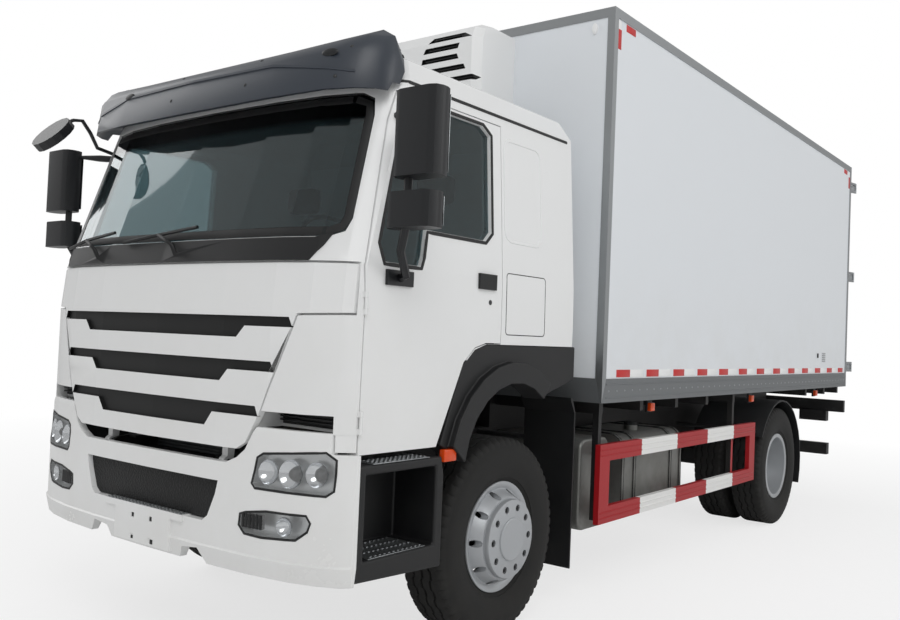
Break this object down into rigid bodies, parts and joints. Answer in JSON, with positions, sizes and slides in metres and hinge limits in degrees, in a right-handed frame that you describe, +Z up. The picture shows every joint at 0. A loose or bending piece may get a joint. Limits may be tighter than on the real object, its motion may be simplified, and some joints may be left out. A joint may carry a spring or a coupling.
{
  "type": "box truck",
  "caption": "Two-axle cab-over box truck with a tilting sleeper cab, an insulated box with rear doors, a nose-mounted cooling unit and side guards.",
  "frame": {"origin": "on the ground under the middle of the truck's overall length, on its centre plane", "axes": "+Z up, -Y towards the front of the truck, +X towards its left side"},
  "size_m": [3.132, 8.2898, 3.709],
  "materials": {
    "white_paint": "gloss white",
    "box_white": "satin white glass-fibre skin",
    "white_plastic": "painted white",
    "chassis_paint": "satin dark grey",
    "iron": "rough",
    "alloy": "brushed",
    "wheel_silver": "silver paint",
    "tyre": "worn",
    "black_plastic": "grained",
    "slate_plastic": "dark slate",
    "guard_paint": "red and white bands",
    "glass": "tinted",
    "lens": "clear",
    "cloth": "woven"
  },
  "bodies": {
    "chassis": {"chassis_frame": "chassis_paint", "front_axle": "chassis_paint", "rear_axle": "chassis_paint", "engine_block": "iron", "radiator": "alloy", "fuel_tank": "alloy", "side_canister": "alloy", "battery_box": "black_plastic", "side_guard_left": "guard_paint", "side_guard_right": "guard_paint", "rear_mudguard_left": "black_plastic", "rear_mudguard_right": "black_plastic", "front_flap_left": "black_plastic", "front_flap_right": "black_plastic", "front_bumper": "white_plastic", "headlamp_left": "lens", "headlamp_right": "lens", "fog_lamp_left": "lens", "fog_lamp_right": "lens", "step_well_left": "black_plastic", "step_well_right": "black_plastic", "box_shell": "box_white", "box_edges": "alloy", "box_bearers": "chassis_paint", "cooling_unit": "white_plastic"},
    "cab": {"cab_shell": "white_paint", "arch_cladding_left": "black_plastic", "arch_cladding_right": "black_plastic", "windscreen": "glass", "front_panel": "white_paint", "cowl_and_wipers": "black_plastic", "sun_visor": "slate_plastic", "dashboard": "black_plastic", "seat_left": "cloth", "seat_right": "cloth", "bunk": "cloth", "round_mirror": "black_plastic"},
    "cab_door_left": {"door_left": "white_paint", "door_glass_left": "glass", "door_mirror_left": "black_plastic"},
    "cab_door_right": {"door_right": "white_paint", "door_glass_right": "glass", "door_mirror_right": "black_plastic"},
    "rear_door_left": {"box_door_left": "box_white"},
    "rear_door_right": {"box_door_right": "box_white"},
    "steer_left": {"knuckle_left": "chassis_paint"},
    "steer_right": {"knuckle_right": "chassis_paint"},
    "steer_link": {"track_rod": "chassis_paint"},
    "front_wheel_left": {"front_tyre_left": "tyre", "front_rim_left": "wheel_silver"},
    "front_wheel_right": {"front_tyre_right": "tyre", "front_rim_right": "wheel_silver"},
    "rear_wheels_left": {"rear_tyre_outer_left": "tyre", "rear_tyre_inner_left": "tyre", "rear_rims_left": "wheel_silver"},
    "rear_wheels_right": {"rear_tyre_outer_right": "tyre", "rear_tyre_inner_right": "tyre", "rear_rims_right": "wheel_silver"}
  },
  "joints": [
    {"name": "cab_tilt", "type": "hinge", "parent": "chassis", "child": "cab", "pos_m": [0, -3.94751, 0.98], "axis": [1, 0, 0], "range_deg": [0, 50]},
    {"name": "cab_door_left_hinge", "type": "hinge", "parent": "cab", "child": "cab_door_left", "pos_m": [1.2215, -3.82701, 1.5], "axis": [0, 0, -1], "range_deg": [0, 70]},
    {"name": "cab_door_right_hinge", "type": "hinge", "parent": "cab", "child": "cab_door_right", "pos_m": [-1.2215, -3.82701, 1.5], "axis": [0, 0, 1], "range_deg": [0, 70]},
    {"name": "rear_door_left_hinge", "type": "hinge", "parent": "chassis", "child": "rear_door_left", "pos_m": [1.29, 4.13449, 2.4], "axis": [0, 0, -1], "range_deg": [0, 270]},
    {"name": "rear_door_right_hinge", "type": "hinge", "parent": "chassis", "child": "rear_door_right", "pos_m": [-1.29, 4.13449, 2.4], "axis": [0, 0, 1], "range_deg": [0, 270]},
    {"name": "steering_left", "type": "hinge", "parent": "chassis", "child": "steer_left", "pos_m": [0.8, -2.58751, 0.5366], "axis": [0, 0, 1], "range_deg": [-35, 35]},
    {"name": "steering_right", "type": "hinge", "parent": "chassis", "child": "steer_right", "pos_m": [-0.8, -2.58751, 0.5366], "axis": [0, 0, 1], "range_deg": [-35, 35]},
    {"name": "track_rod_joint", "type": "hinge", "parent": "steer_left", "child": "steer_link", "pos_m": [0.8, -2.36751, 0.38831], "axis": [0, 0, 1], "range_deg": [-35, 35]},
    {"name": "front_wheel_left_spin", "type": "hinge", "parent": "steer_left", "child": "front_wheel_left", "pos_m": [1.01, -2.58751, 0.5366], "axis": [1, 0, 0], "continuous": true},
    {"name": "front_wheel_right_spin", "type": "hinge", "parent": "steer_right", "child": "front_wheel_right", "pos_m": [-1.01, -2.58751, 0.5366], "axis": [1, 0, 0], "continuous": true},
    {"name": "rear_wheels_left_spin", "type": "hinge", "parent": "chassis", "child": "rear_wheels_left", "pos_m": [0.915, 1.88249, 0.5366], "axis": [1, 0, 0], "continuous": true},
    {"name": "rear_wheels_right_spin", "type": "hinge", "parent": "chassis", "child": "rear_wheels_right", "pos_m": [-0.915, 1.88249, 0.5366], "axis": [1, 0, 0], "continuous": true}
  ],
  "couplings": [
    {"joint": "steering_right", "follows": "steering_left", "ratio": 1},
    {"joint": "track_rod_joint", "follows": "steering_left", "ratio": -1}
  ]
}
